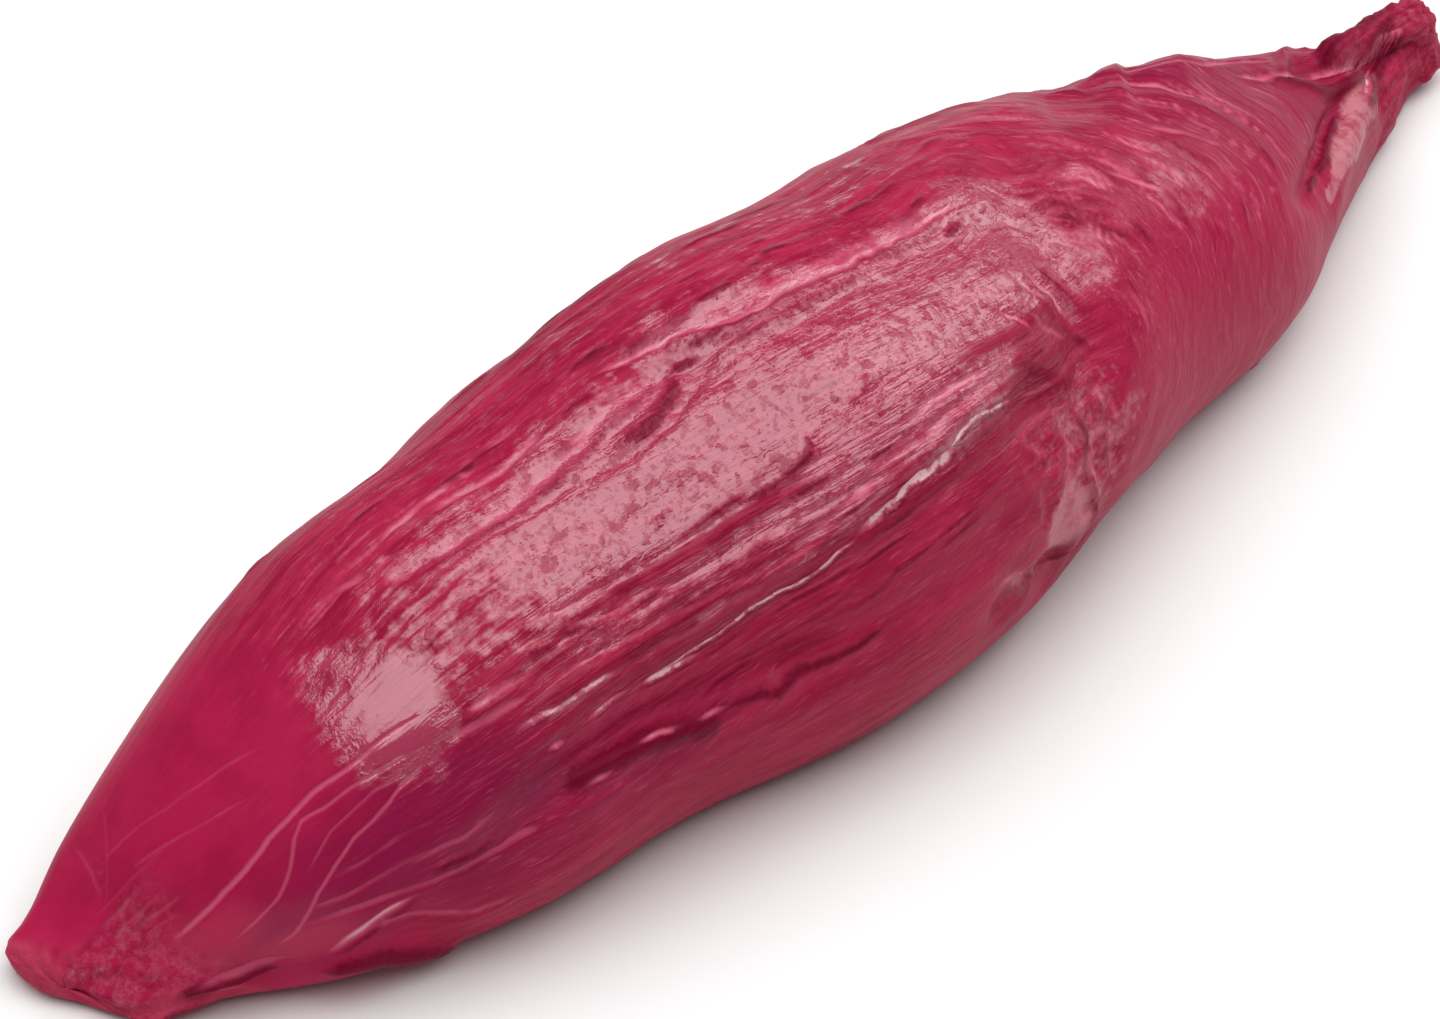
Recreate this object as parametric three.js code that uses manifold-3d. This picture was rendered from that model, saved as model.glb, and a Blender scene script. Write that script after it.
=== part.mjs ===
// A trimmed raw shoulder muscle of beef, lying on the side that its own weight has flattened.
// Millimetres. +X runs from the cut end to the ragged tail, -Y is the side shown to the viewer, +Z is up.
// A place on the skin is named by x and by a turn in degrees round the meat:
// 0 is the near side, 90 the top, 180 the far side and 270 underneath.
import * as THREE from "three";
import { mergeVertices } from "three/addons/utils/BufferGeometryUtils.js";
import Module from "manifold-3d";

const wasm = await Module();
wasm.setup();

// Where the cut end and the tip of the tail lie along x.
const CUT_END = -163;
const TIP = 172;
const RING_STEP = 3.4;
// Rings this far in from each end round off its edge, down to this share of the girth.
const END_RINGS = [0, 0.15, 0.6, 1.6];
const END_ROUNDING = 3;
const END_SHARE = 0.35;
const TURN_STEPS = 50;
// The turn where corners lie closest together, and how strongly they gather there.
const BUSY_TURN = 45;
const GATHER = 0.32;

// Where the widest line lies, as a share of the height, and how square the section is, 1 being an ellipse.
const BELLY_SHARE = 0.435;
const SQUARENESS = 0.9;
// Over this height the skin rounds into the flat resting face.
const SOLE_BLEND = 3;
// The two swells of the whole surface: see swell below.
const slowSwell = { height: 0.5, length: 19, lean: 1.3, times: 1, twist: -61 };
const quickSwell = { height: 0.25, length: 8.3, lean: 2, times: 2, twist: 27 };

// Girth of the muscle along its length: x, half width, height, and how far it bows to the far side.
const girth = [
  [-163, 14.5, 6, 20.5],
  [-155, 15.5, 9, 20],
  [-146, 19.5, 19, 18.5],
  [-130, 27, 34, 13.5],
  [-105, 34, 51, 8],
  [-70, 36, 60, 5.5],
  [-30, 42, 69, 0],
  [10, 39, 65, 0],
  [28, 38, 61, 3],
  [50, 33.5, 56, 5],
  [85, 26.5, 46, 4],
  [112, 18.5, 33, 7.5],
  [132, 14, 23, 11],
  [148, 9.5, 16.5, 12.5],
  [160, 7.5, 13, 15.5],
  [172, 6, 10, 16.5],
];
const girthAt = new THREE.CubicInterpolant(
  girth.map((station) => station[0]),
  girth.flatMap((station) => station.slice(1)),
  3,
);

// The knife took the cut end off at a slant, so that the near corner stands back by this much.
const SLANT = 5;
const SLANT_REACH = 16;
// Torn edges: how far the fibres stand in and out at each end, and how far in from the edge they do.
const CUT_FRAY = 1.8;
const TAIL_FRAY = 2.4;
const FRAY_REACH = 7;
const tearWaves = [
  { height: 0.55, teeth: 3, start: 1 },
  { height: 0.45, teeth: 7, start: 2.2 },
];
// Relief dies out over this length before an end, where the meat is thinner than the relief is high.
const RELIEF_REACH = 8;

// Ridges, and creases where the height is negative. Above and below are the widths on the two sides of the
// line, above being the side of the greater turn.
const lines = [
  // The edge between the smooth nose and the near side.
  { height: 1.8, above: 12, below: 5, path: [[-158, 30], [-148, 44], [-134, 59], [-120, 61], [-104, 52]] },
  // The long seams between bundles of fibre, from the near side up to the top.
  { height: -2.6, above: 3, below: 3.6, path: [[-106, 17], [-93, 17], [-80, 15], [-68, 12], [-53, 8]] },
  { height: -1.4, above: 2.6, below: 3, path: [[-56, 8], [-42, 9], [-27, 10], [-14, 13]] },
  { height: 1.2, above: 2.4, below: 5, path: [[-98, 8], [-86, 9], [-72, 5], [-58, 0]] },
  { height: 1.3, above: 7, below: 2.4, path: [[-86, 32], [-61, 31], [-40, 35], [-14, 39], [-2, 42]] },
  { height: -1.5, above: 2.2, below: 5, path: [[-84, 27], [-61, 26], [-40, 30], [-14, 34], [0, 37]] },
  { height: 1.3, above: 9, below: 2.6, path: [[-50, 102], [-30, 93], [-10, 90], [9, 90], [24, 85]] },
  { height: -1, above: 2.4, below: 7, path: [[-46, 93], [-28, 84], [-10, 81], [9, 81], [20, 77]] },
  { height: -1.2, above: 4, below: 4, path: [[-64, 80], [-56, 82], [-44, 88]] },
  // The waist where the two bellies of the muscle meet.
  { height: -2.4, above: 7, below: 7, path: [[26, 62], [22, 46], [17, 30], [13, 16], [12, 2], [14, 340]] },
  { height: -2.6, above: 3, below: 3, path: [[-14, 349], [-5, 348], [4, 342], [12, 338]] },
  // The raised edge of the far top.
  { height: 1.5, above: 14, below: 4, path: [[84, 118], [92, 110], [106, 106], [124, 100]] },
  // The fat strip before the tail and the tear behind it.
  { height: -3, above: 3.4, below: 2.4, path: [[130, 56], [121, 45], [108, 34], [94, 26]] },
  { height: 2, above: 2.6, below: 4.5, path: [[143, 58], [127, 38], [115, 24], [106, 8]] },
  { height: -2.2, above: 2.6, below: 2.6, path: [[126, 88], [140, 82], [154, 76]] },
];

// Round swellings, and hollows where the height is negative.
const spots = [
  { at: [-58, 146], height: 1, radius: 13 },
  { at: [-78, 150], height: -1, radius: 9 },
  { at: [4, 34], height: -3, radius: 9 },
  { at: [20, 38], height: -2.2, radius: 6 },
  { at: [9, 356], height: 2.6, radius: 6 },
  { at: [1, 349], height: -2.4, radius: 4.5 },
  { at: [70, 104], height: -1, radius: 12 },
  { at: [60, 14], height: 1, radius: 20 },
  { at: [92, 4], height: 1, radius: 12 },
  { at: [29, 332], height: -3, radius: 8 },
  { at: [-123, 350], height: -2.6, radius: 5 },
  { at: [-143, 354], height: -2.4, radius: 4 },
  { at: [-151, 62], height: -1.4, radius: 8 },
  { at: [-148, 20], height: 1.2, radius: 6 },
  { at: [143, 42], height: -3.4, radius: 4.2 },
  { at: [-100, 88], height: 1.2, radius: 24 },
  { at: [-20, 62], height: 1.4, radius: 26 },
];

// The rolled flap on top of the tail, from its free end to the tip: x, y, z, half width, half height.
const rolledFlap = [
  [137, 13.4, 20.8, 0.8, 0.8],
  [138, 13.4, 20.8, 2, 1.7],
  [141, 13.4, 20.4, 2.8, 2.2],
  [147, 13.4, 19, 3.2, 2.5],
  [155, 13.6, 16.8, 3.6, 2.9],
  [163, 14.4, 13.8, 3.6, 3.3],
  [169, 15, 11.4, 3.4, 3.4],
  [173, 15.2, 10, 1.6, 1.8],
];
const FLAP_RINGS = 18;
const FLAP_STEPS = 14;
// The flap is a curled sheet, so its section waves a little.
const FLAP_WAVE = 0.12;
const FLAP_WAVE_LENGTH = 5;
// A relief line gets this many points for each one named.
const LINE_STEPS = 8;

const beef = new THREE.MeshStandardMaterial({
  color: new THREE.Color(0.36, 0.025, 0.07),
  roughness: 0.35,
  metalness: 0,
});

const radians = THREE.MathUtils.degToRad;
const fade = (value) => Math.exp(-value * value);
const rounded = (wave) => Math.sign(wave) * Math.abs(wave) ** SQUARENESS;
// Turns run through 360, and the difference of two is taken the short way round.
const turnGap = (turn, from) => THREE.MathUtils.euclideanModulo(turn - from + 180, 360) - 180;

// Rounds a height off into the table.
function flattened(height) {
  if (height > SOLE_BLEND) return height;
  if (height < -SOLE_BLEND) return 0;
  return (height + SOLE_BLEND) ** 2 / (4 * SOLE_BLEND);
}

// The points of a relief line, close enough together for a smooth crease.
function traced(path) {
  const points = path.map(([x, turn]) => new THREE.Vector3(x, turnGap(turn, 0), 0));
  return new THREE.CatmullRomCurve3(points).getPoints(LINE_STEPS * path.length);
}
const tracedLines = lines.map((line) => ({ ...line, points: traced(line.path) }));

// Swelling and sinking of the whole surface, as soft meat has: height, length of a wave along x and how far
// the wave leans and twists on its way round.
function swell(x, turn, { height, length, lean, times, twist }) {
  const round = radians(turn);
  const along = Math.sin(x / length + lean * Math.sin(times * round));
  return height * along * Math.cos((times + 1) * round + x / twist);
}

// How far the skin stands out at x and turn, where the girth has this mean radius.
function relief(x, turn, radius) {
  let height = swell(x, turn, slowSwell) + swell(x, turn, quickSwell);
  for (const line of tracedLines) {
    let nearest = Infinity;
    let side = 0;
    for (const point of line.points) {
      const over = radians(turnGap(turn, point.y)) * radius;
      const away = Math.hypot(x - point.x, over);
      if (away < nearest) {
        nearest = away;
        side = over;
      }
    }
    height += line.height * fade(nearest / (side > 0 ? line.above : line.below));
  }
  for (const spot of spots) {
    const over = radians(turnGap(turn, spot.at[1])) * radius;
    height += spot.height * fade(Math.hypot(x - spot.at[0], over) / spot.radius);
  }
  return height;
}

// How far a torn edge stands out at a turn, from -1 to 1.
function tear(turn) {
  let out = 0;
  for (const { height, teeth, start } of tearWaves) out += height * Math.sin(teeth * radians(turn) + start);
  return out;
}

// The skin at x and turn.
function skin(x, turn) {
  const [halfWidth, height, bow] = girthAt.evaluate(x);
  const across = Math.cos(radians(turn));
  const up = Math.sin(radians(turn));
  const outward = new THREE.Vector2(-across / halfWidth, up / (height / 2)).normalize();
  const fromCut = x - CUT_END;
  const fromTip = TIP - x;
  const fromEnd = Math.min(fromCut, fromTip);
  // The edge of an end is round: 0 at its very end, 1 where it is at its full girth.
  const opened = Math.sqrt(1 - Math.max(0, 1 - fromEnd / END_ROUNDING) ** 2);
  const girthShare = END_SHARE + (1 - END_SHARE) * opened;
  const stand = relief(x, turn, (halfWidth + height / 2) / 2) * (1 - fade(fromEnd / RELIEF_REACH));
  const y = bow - halfWidth * girthShare * rounded(across) + outward.x * stand;
  const z = height * (BELLY_SHARE + girthShare * (1 - BELLY_SHARE) * rounded(up)) + outward.y * stand;
  const slant = SLANT * (0.5 + 0.5 * across) * fade(fromCut / SLANT_REACH);
  const fray = TAIL_FRAY * fade(fromTip / FRAY_REACH) - CUT_FRAY * fade(fromCut / FRAY_REACH);
  return new THREE.Vector3(x + slant + fray * tear(turn) * opened, y, flattened(z));
}

// A closed surface through rings of equal length, each end shut by a fan to its middle.
function loft(rings) {
  const steps = rings[0].length;
  const corners = rings.flat();
  const triangles = [];
  for (let ring = 0; ring + 1 < rings.length; ring++) {
    for (let step = 0; step < steps; step++) {
      const a = ring * steps + step;
      const b = ring * steps + ((step + 1) % steps);
      triangles.push(b, a, a + steps, b, a + steps, b + steps);
    }
  }
  const last = (rings.length - 1) * steps;
  for (const [start, atTip] of [[0, false], [last, true]]) {
    const middle = corners.length;
    const sum = new THREE.Vector3();
    for (let step = 0; step < steps; step++) sum.add(corners[start + step]);
    corners.push(sum.divideScalar(steps));
    for (let step = 0; step < steps; step++) {
      const a = start + step;
      const b = start + ((step + 1) % steps);
      if (atTip) triangles.push(b, a, middle);
      else triangles.push(a, b, middle);
    }
  }
  const geometry = new THREE.BufferGeometry().setFromPoints(corners);
  geometry.setIndex(triangles);
  return geometry;
}

function muscleGeometry() {
  const start = CUT_END + END_ROUNDING;
  const reach = TIP - END_ROUNDING - start;
  const count = Math.round(reach / RING_STEP);
  const places = END_RINGS.map((inset) => CUT_END + inset);
  for (let ring = 0; ring <= count; ring++) places.push(start + (reach * ring) / count);
  places.push(...END_RINGS.map((inset) => TIP - inset).reverse());
  const rings = [];
  for (const x of places) {
    const points = [];
    for (let step = 0; step < TURN_STEPS; step++) {
      const even = (2 * Math.PI * step) / TURN_STEPS;
      const gathered = THREE.MathUtils.radToDeg(even - GATHER * 2 * Math.sin(even));
      points.push(skin(x, gathered + BUSY_TURN));
    }
    rings.push(points);
  }
  return loft(rings);
}

function flapGeometry() {
  const shape = new THREE.CubicInterpolant(
    rolledFlap.map((station) => station[0]),
    rolledFlap.flatMap((station) => station.slice(1)),
    4,
  );
  const start = rolledFlap[0][0];
  const reach = rolledFlap.at(-1)[0] - start;
  const rings = [];
  for (let ring = 0; ring <= FLAP_RINGS; ring++) {
    const x = start + (reach * ring) / FLAP_RINGS;
    const [y, z, halfWidth, halfHeight] = shape.evaluate(x);
    const points = [];
    for (let step = 0; step < FLAP_STEPS; step++) {
      const round = (2 * Math.PI * step) / FLAP_STEPS;
      const wave = 1 + FLAP_WAVE * Math.sin(3 * round + x / FLAP_WAVE_LENGTH);
      const across = halfWidth * wave * Math.cos(round);
      const up = halfHeight * wave * Math.sin(round);
      points.push(new THREE.Vector3(x, y - across, z + up));
    }
    rings.push(points);
  }
  return loft(rings);
}

function solid(geometry) {
  const merged = mergeVertices(geometry);
  return new wasm.Manifold(
    new wasm.Mesh({
      numProp: 3,
      vertProperties: merged.attributes.position.array,
      triVerts: new Uint32Array(merged.index.array),
    }),
  );
}

function geometryOf(manifold) {
  const mesh = manifold.getMesh();
  const geometry = new THREE.BufferGeometry();
  geometry.setAttribute("position", new THREE.BufferAttribute(mesh.vertProperties, 3));
  geometry.setIndex(new THREE.BufferAttribute(mesh.triVerts, 1));
  return geometry;
}

// Puts the origin on the table, under the middle of the meat.
function centred(geometry) {
  geometry.computeBoundingBox();
  const { min, max } = geometry.boundingBox;
  return geometry.translate(-(min.x + max.x) / 2, -(min.y + max.y) / 2, -min.z);
}

const joined = solid(muscleGeometry()).add(solid(flapGeometry()));
const roast = new THREE.Mesh(centred(geometryOf(joined)), beef);
roast.name = "roast";

const meat = new THREE.Group();
meat.add(roast);

export default meat;
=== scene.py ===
"""A raw beef shoulder roast, trimmed and wet, lying on a pale table.

The meat is one piece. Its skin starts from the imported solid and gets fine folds, creases,
loose fringes and a wet finish. A place on the skin is (along, turn): along is millimetres
from the middle of the roast towards the torn tail, turn is the angle round the girth in
degrees, 0 at the near side, 90 on top, 180 at the far side.
"""
import math

import bpy
import numpy as np
from mathutils import Matrix, Vector
from mathutils.bvhtree import BVHTree


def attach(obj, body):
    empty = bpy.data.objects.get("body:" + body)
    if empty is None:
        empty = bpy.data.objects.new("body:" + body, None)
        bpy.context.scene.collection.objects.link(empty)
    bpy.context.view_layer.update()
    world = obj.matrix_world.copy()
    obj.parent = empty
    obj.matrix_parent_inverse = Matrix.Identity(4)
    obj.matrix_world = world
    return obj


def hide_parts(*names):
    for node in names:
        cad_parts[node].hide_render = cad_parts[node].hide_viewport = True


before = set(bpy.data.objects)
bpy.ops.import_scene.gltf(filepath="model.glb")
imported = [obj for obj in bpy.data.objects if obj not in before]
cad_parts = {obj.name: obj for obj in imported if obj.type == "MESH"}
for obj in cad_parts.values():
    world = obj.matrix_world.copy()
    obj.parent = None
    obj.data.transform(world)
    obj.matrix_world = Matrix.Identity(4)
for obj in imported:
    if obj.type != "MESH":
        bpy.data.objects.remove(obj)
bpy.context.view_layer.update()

MM = 0.001
LEFT_END = -168.0
RIGHT_END = 168.0

CAMERA_SWING = math.radians(48)
CAMERA_RISE = math.radians(40)
CAMERA_DISTANCE = 1.0
LOOK_AT = Vector((-0.0403, -0.00014, 0.032))
LENS = 157.9
SENSOR_WIDTH = 36

LIGHT_DISTANCE = 2.0
ROOM_LIGHT = 0.20

TABLE_HALF_WIDTH = 3.0
TABLE_DROP = 0.0004
TABLE_GREY = 0.84
TABLE_ROUGHNESS = 0.9


def place_camera():
    """The camera of the photograph: from the left, in front and above."""
    back = Vector((-math.cos(CAMERA_RISE) * math.sin(CAMERA_SWING),
                   -math.cos(CAMERA_RISE) * math.cos(CAMERA_SWING), math.sin(CAMERA_RISE)))
    right = Vector((math.cos(CAMERA_SWING), -math.sin(CAMERA_SWING), 0))
    up = back.cross(right)
    data = bpy.data.cameras.new("photo_camera")
    data.lens = LENS
    data.sensor_width = SENSOR_WIDTH
    camera = bpy.data.objects.new("photo_camera", data)
    turn = Matrix((right, up, back)).transposed().to_4x4()
    camera.matrix_world = Matrix.Translation(LOOK_AT + back * CAMERA_DISTANCE) @ turn
    bpy.context.collection.objects.link(camera)
    bpy.context.scene.camera = camera


def soft_light(name, aim_from, size, radiance):
    """A round soft box that points at the roast; radiance is how bright its face looks."""
    data = bpy.data.lights.new(name, "AREA")
    data.shape = "DISK"
    data.size = size
    data.energy = radiance * math.pi * math.pi * (size / 2) ** 2
    light = bpy.data.objects.new(name, data)
    direction = Vector(aim_from).normalized()
    light.location = direction * LIGHT_DISTANCE
    light.rotation_euler = direction.to_track_quat("Z", "Y").to_euler()
    bpy.context.collection.objects.link(light)


def light_the_table():
    """One wide soft box overhead, one beyond the tail and a dim even room."""
    soft_light("overhead_light", (-0.07, -0.02, 1.0), 3.45, 2.2)
    soft_light("tail_side_light", (0.78, -0.05, 0.60), 1.5, 2.25)
    world = bpy.data.worlds.new("studio")
    world.use_nodes = True
    background = world.node_tree.nodes["Background"]
    background.inputs["Color"].default_value = (1, 1, 1, 1)
    background.inputs["Strength"].default_value = ROOM_LIGHT
    bpy.context.scene.world = world
    bpy.context.scene.view_settings.view_transform = "Standard"


def lay_table():
    """A plain pale table top, wider than the camera sees from any side."""
    half = TABLE_HALF_WIDTH
    mesh = bpy.data.meshes.new("table_top")
    corners = [(-half, -half, 0), (half, -half, 0), (half, half, 0), (-half, half, 0)]
    mesh.from_pydata(corners, [], [(0, 1, 2, 3)])
    table = bpy.data.objects.new("table_top", mesh)
    table.location.z = -TABLE_DROP
    bpy.context.collection.objects.link(table)
    material = bpy.data.materials.new("pale_table")
    material.use_nodes = True
    shader = material.node_tree.nodes["Principled BSDF"]
    shader.inputs["Base Color"].default_value = (TABLE_GREY, TABLE_GREY, TABLE_GREY, 1)
    shader.inputs["Roughness"].default_value = TABLE_ROUGHNESS
    mesh.materials.append(material)


def scattered(ix, iy, iz, seed):
    """A fixed scattered number from -1 to 1 for every corner of a cubic lattice."""
    mix = (ix * 374761393 + iy * 668265263 + iz * 1442695041 + seed * 1274126177) & 0xFFFFFFFF
    mix = ((mix ^ (mix >> 13)) * 1274126177) & 0xFFFFFFFF
    return ((mix ^ (mix >> 16)) & 0xFFFF) / 32767.5 - 1.0


def ruffle(x, y, z, seed):
    """Smooth noise from -1 to 1."""
    x, y, z = np.broadcast_arrays(x, y, z)
    ix, iy, iz = (np.floor(c).astype(np.int64) for c in (x, y, z))
    fx, fy, fz = (c - i for c, i in ((x, ix), (y, iy), (z, iz)))
    fx, fy, fz = (f * f * f * (f * (f * 6 - 15) + 10) for f in (fx, fy, fz))
    total = 0.0
    for dx, wx in ((0, 1 - fx), (1, fx)):
        for dy, wy in ((0, 1 - fy), (1, fy)):
            for dz, wz in ((0, 1 - fz), (1, fz)):
                total = total + wx * wy * wz * scattered(ix + dx, iy + dy, iz + dz, seed)
    return total


def smooth(low, high, value):
    """0 below low, 1 above high, an easy step between."""
    share = np.clip((value - low) / (high - low), 0, 1)
    return share * share * (3 - 2 * share)


# millimetres, except the shares and counts
VOXEL = 0.9
WELD_GAP = 0.02
EVENING_ROUNDS = 7
EVENING_PULLS = (0.6, -0.62)
FIRST_TURN = -35.0
CENTRE_SHARE = 0.435
SQUARENESS = 0.9
CAP_RINGS = 9
CUT_INSET = 5.0
TAIL_INSET = 5.0
FAR_OUT = 90.0
STATION_STEP = 3.0
# distance from ring to ring at places along, degrees from point to point at turns
RING_STEPS = {-158: 1.5, -152: 1.0, 104: 1.0, 112: 1.25}
TURN_STEPS = {-38: 1.7, -30: 0.76, 112: 0.76, 122: 1.35, 195: 1.5, 210: 3.2, 310: 3.2,
              322: 1.7}


def remeshed_solid():
    """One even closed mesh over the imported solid."""
    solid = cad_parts["roast"]
    mesh = solid.data.copy()
    rough = bpy.data.objects.new("rough_roast", mesh)
    bpy.context.collection.objects.link(rough)
    weld = rough.modifiers.new("weld", "WELD")
    weld.merge_threshold = WELD_GAP * MM
    remesh = rough.modifiers.new("remesh", "REMESH")
    remesh.mode = "VOXEL"
    remesh.voxel_size = VOXEL * MM
    graph = bpy.context.evaluated_depsgraph_get()
    even = bpy.data.meshes.new_from_object(rough.evaluated_get(graph))
    bpy.data.objects.remove(rough)
    bpy.data.meshes.remove(mesh)
    return even


def rounded(wave):
    """A sine or cosine, filled out towards the corners of a box."""
    return np.sign(wave) * np.abs(wave) ** SQUARENESS


def stepped(first, last, step_at):
    """Places from first to last, with the step that step_at gives for each place."""
    places = [first]
    while places[-1] < last:
        places.append(places[-1] + step_at(places[-1]))
    places = np.array(places)
    return first + (places - first) * (last - first) / (places[-1] - first)


def ring_step(along):
    """Closer rings where the fibres run round the girth."""
    return float(np.interp(along, list(RING_STEPS), list(RING_STEPS.values())))


def turn_step(turn):
    """Closest on the side that shows, widest underneath."""
    return float(np.interp(turn, list(TURN_STEPS), list(TURN_STEPS.values())))


class Profile:
    """The girth of a mesh at every slice: near side, far side and top, in millimetres."""

    def __init__(self, points):
        x, y, z = points.T
        self.stations = np.arange(LEFT_END, RIGHT_END + 1, STATION_STEP)
        near, far, top = [], [], []
        for station in self.stations:
            slab = np.abs(x - station) < STATION_STEP
            near.append(y[slab].min())
            far.append(y[slab].max())
            top.append(z[slab].max())
        self.near, self.far, self.top = np.array(near), np.array(far), np.array(top)

    def at(self, along):
        """The middle, half width and height at a place along."""
        near, far, top = (np.interp(along, self.stations, side)
                          for side in (self.near, self.far, self.top))
        return (near + far) / 2, (far - near) / 2, top


def laid_skin():
    """A closed net of rings laid on the solid: rows of quads that run along the fibres."""
    even = remeshed_solid()
    base = Skin(even)
    base.evened(EVENING_ROUNDS)
    base.store()
    profile = Profile(base.points)
    corners = [Vector(point) for point in base.points]
    tree = BVHTree.FromPolygons(corners, [list(face.vertices) for face in even.polygons])
    turns = stepped(FIRST_TURN, FIRST_TURN + 360, turn_step)[:-1]
    first, last = LEFT_END + CUT_INSET, RIGHT_END - TAIL_INSET
    tilts = np.radians(np.linspace(90, 0, CAP_RINGS + 1))[1:-1]
    rings = [(first, -tilt) for tilt in tilts]
    rings += [(along, 0.0) for along in stepped(first, last, ring_step)]
    rings += [(last, tilt) for tilt in tilts[::-1]]
    points, places = [], []

    def drop(along, tilt, turn):
        """Adds the point where a line from far out meets the solid."""
        middle, half, top = profile.at(along)
        centre = Vector((along, middle, CENTRE_SHARE * top))
        round_turn = np.radians(turn)
        inset = CUT_INSET if tilt < 0 else TAIL_INSET
        out = Vector((math.sin(tilt) * inset,
                      -half * rounded(np.cos(round_turn)) * math.cos(tilt),
                      (1 - CENTRE_SHARE) * top * rounded(np.sin(round_turn)) * math.cos(tilt)))
        out.normalize()
        hit = tree.ray_cast(centre + out * FAR_OUT, -out)[0]
        if hit is None:
            hit = tree.find_nearest(centre + out * half)[0]
        points.append(hit)
        places.append((hit.x, turn))

    drop(first, -math.pi / 2, 90.0)
    for along, tilt in rings:
        for turn in turns:
            drop(along, tilt, turn)
    drop(last, math.pi / 2, 90.0)
    bpy.data.meshes.remove(even)

    count, rows = len(turns), len(rings)
    # seen from outside the corners run clockwise, so the faces look into the meat
    faces = []
    for step in range(count):
        follow = (step + 1) % count
        faces.append((0, 1 + follow, 1 + step))
        for row in range(rows - 1):
            a, b = 1 + row * count, 1 + (row + 1) * count
            faces.append((a + step, a + follow, b + follow, b + step))
        end = 1 + (rows - 1) * count
        faces.append((len(points) - 1, end + step, end + follow))
    mesh = bpy.data.meshes.new("roast_skin")
    mesh.from_pydata([point * MM for point in points], [], faces)
    mesh.update()
    skin = Skin(mesh)
    skin.turn = np.array([place[1] for place in places])
    skin.along = skin.points[:, 0].copy()
    middle, half, top = profile.at(skin.along)
    skin.radius = (half + top / 2) / 2
    return skin


class Skin:
    """A mesh's points in millimetres, with their places, and functions to work on them."""

    def __init__(self, mesh):
        self.mesh = mesh
        count = len(mesh.vertices)
        flat = np.empty(count * 3)
        mesh.vertices.foreach_get("co", flat)
        self.points = flat.reshape(-1, 3) / MM
        ends = np.empty(len(mesh.edges) * 2, dtype=np.int64)
        mesh.edges.foreach_get("vertices", ends)
        self.ends = ends.reshape(-1, 2)
        self.valence = np.bincount(ends, minlength=count).astype(float)

    def neighbours(self, values):
        """The mean of each point's neighbours."""
        a, b = self.ends[:, 0], self.ends[:, 1]
        total = np.bincount(a, values[b], len(self.valence))
        total += np.bincount(b, values[a], len(self.valence))
        return total / self.valence

    def evened(self, rounds):
        """Takes the facets off without shrinking the form."""
        for _ in range(rounds):
            for pull in EVENING_PULLS:
                for axis in range(3):
                    column = self.points[:, axis]
                    self.points[:, axis] = column + pull * (self.neighbours(column) - column)

    def store(self):
        """Puts the points back into the mesh."""
        self.mesh.vertices.foreach_set("co", (self.points * MM).ravel())
        self.mesh.update()

    def normals(self):
        """The normal at every point. It points into the meat, as the faces look inwards."""
        self.store()
        flat = np.empty(len(self.valence) * 3)
        self.mesh.vertex_normals.foreach_get("vector", flat)
        return flat.reshape(-1, 3)

    def raise_by(self, height):
        """Moves every point into the meat by its own height in millimetres, or out of it
        where the height is below 0."""
        self.points = self.points + self.normals() * height[:, None]

    def gap(self, turn):
        """How far round the girth, in millimetres, each point is from a turn."""
        return np.radians((self.turn - turn + 180) % 360 - 180) * self.radius

    def line(self, places):
        """Signed distance to a line of places, above it positive, and the share along it."""
        best = np.full(len(self.along), 1e9)
        side = np.zeros(len(self.along))
        share = np.zeros(len(self.along))
        for number, ((x0, t0), (x1, t1)) in enumerate(zip(places, places[1:])):
            ax, ay = self.along - x0, self.gap(t0)
            rise = np.radians((t1 - t0 + 180) % 360 - 180) * self.radius
            run = x1 - x0
            length = np.maximum(run * run + rise * rise, 1e-6)
            step = np.clip((ax * run + ay * rise) / length, 0, 1)
            dx, dy = ax - step * run, ay - step * rise
            distance = np.hypot(dx, dy)
            closer = distance < best
            best = np.where(closer, distance, best)
            side = np.where(closer, np.sign(run * ay - rise * ax), side)
            share = np.where(closer, (number + step) / (len(places) - 1), share)
        return best * side, share

    def spot(self, along, turn, reach, round_reach, edge):
        """A soft spot: 1 inside, 0 outside, its reach along and round in millimetres."""
        distance = np.hypot((self.along - along) / reach, self.gap(turn) / round_reach)
        distance = distance + 0.22 * self.patchy
        return 1 - smooth(1 - edge, 1 + edge, distance)


# The fibres draw together towards FLOW_TURN, by up to FLOW_DRAW degrees.
FLOW_TURN = 36
FLOW_DRAW = 15
FLOW_REACH = 12


def flow_turn(skin):
    """Turn straightened along the fibres, which draw together towards the knot."""
    gap = (skin.turn - FLOW_TURN + 180) % 360 - 180
    drawn = FLOW_DRAW * smooth(-110, -5, skin.along) * (1 - smooth(15, 50, skin.along))
    return skin.turn + np.sign(gap) * drawn * (1 - np.exp(-np.abs(gap) / FLOW_REACH))


GRAIN_RADIUS = 34.0
KNOT = (8.0, 32.0)
HAIR_RADIUS = 45.0


def set_grain(skin):
    """Where each point lies in the lengthwise fibres and in the arcs round the knot."""
    flow = np.radians(flow_turn(skin))
    skin.fibre = np.stack([skin.along, GRAIN_RADIUS * np.cos(flow),
                           GRAIN_RADIUS * np.sin(flow)], 1)
    x, y, z = skin.points.T
    past, above = skin.along - KNOT[0], skin.gap(KNOT[1])
    drift = 2.6 * ruffle(x / 15, y / 15, z / 15, 5) + 1.0 * ruffle(x / 5, y / 5, z / 5, 6)
    skin.hair = np.stack([np.hypot(past, above) + drift, HAIR_RADIUS * np.arctan2(above, past),
                          np.zeros(len(past))], 1)
    skin.patchy = ruffle(x / 9, y / 9, z / 9, 3) + 0.5 * ruffle(x / 4, y / 4, z / 4, 4)


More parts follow.
